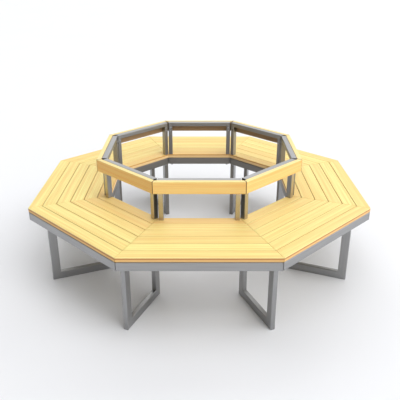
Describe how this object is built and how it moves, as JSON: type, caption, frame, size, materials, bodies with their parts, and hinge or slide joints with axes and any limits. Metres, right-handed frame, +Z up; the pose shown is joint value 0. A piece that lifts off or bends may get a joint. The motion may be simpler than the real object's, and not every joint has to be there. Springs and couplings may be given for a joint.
{
  "type": "tree bench",
  "caption": "Octagonal bench that stands round a tree, with a slatted wooden seat and a low wooden backrest on welded steel tube frames.",
  "frame": {"origin": "on the ground, at the middle of the tree opening", "axes": "+Z up; -Y towards the front module, +X towards the right one"},
  "size_m": [1.822, 1.822, 0.67],
  "materials": {
    "seat_wood": "clear oiled pine, planed",
    "board_wood": "clear oiled pine, planed",
    "frame_steel": "brushed",
    "zinc": "zinc plated"
  },
  "bodies": {
    "root": {"seat_frame_front": "frame_steel", "seat_frame_front_right": "frame_steel", "seat_frame_right": "frame_steel", "seat_frame_back_right": "frame_steel", "seat_frame_back": "frame_steel", "seat_frame_back_left": "frame_steel", "seat_frame_left": "frame_steel", "seat_frame_front_left": "frame_steel", "seat_slats_front": "seat_wood", "seat_slats_front_right": "seat_wood", "seat_slats_right": "seat_wood", "seat_slats_back_right": "seat_wood", "seat_slats_back": "seat_wood", "seat_slats_back_left": "seat_wood", "seat_slats_left": "seat_wood", "seat_slats_front_left": "seat_wood", "back_frame_front": "frame_steel", "back_frame_front_right": "frame_steel", "back_frame_right": "frame_steel", "back_frame_back_right": "frame_steel", "back_frame_back": "frame_steel", "back_frame_back_left": "frame_steel", "back_frame_left": "frame_steel", "back_frame_front_left": "frame_steel", "back_board_front": "board_wood", "back_board_front_right": "board_wood", "back_board_right": "board_wood", "back_board_back_right": "board_wood", "back_board_back": "board_wood", "back_board_back_left": "board_wood", "back_board_left": "board_wood", "back_board_front_left": "board_wood", "leg_front_right_front": "frame_steel", "leg_front_right_right": "frame_steel", "leg_back_right_right": "frame_steel", "leg_back_right_back": "frame_steel", "leg_back_left_back": "frame_steel", "leg_back_left_left": "frame_steel", "leg_front_left_left": "frame_steel", "leg_front_left_front": "frame_steel", "slat_bearers": "frame_steel", "slat_screws": "zinc", "board_screws": "zinc", "post_bolts": "zinc", "post_washers": "zinc", "joint_bolts": "zinc", "joint_nuts": "zinc", "joint_washers": "zinc", "joint_spacers": "zinc"}
  },
  "joints": []
}
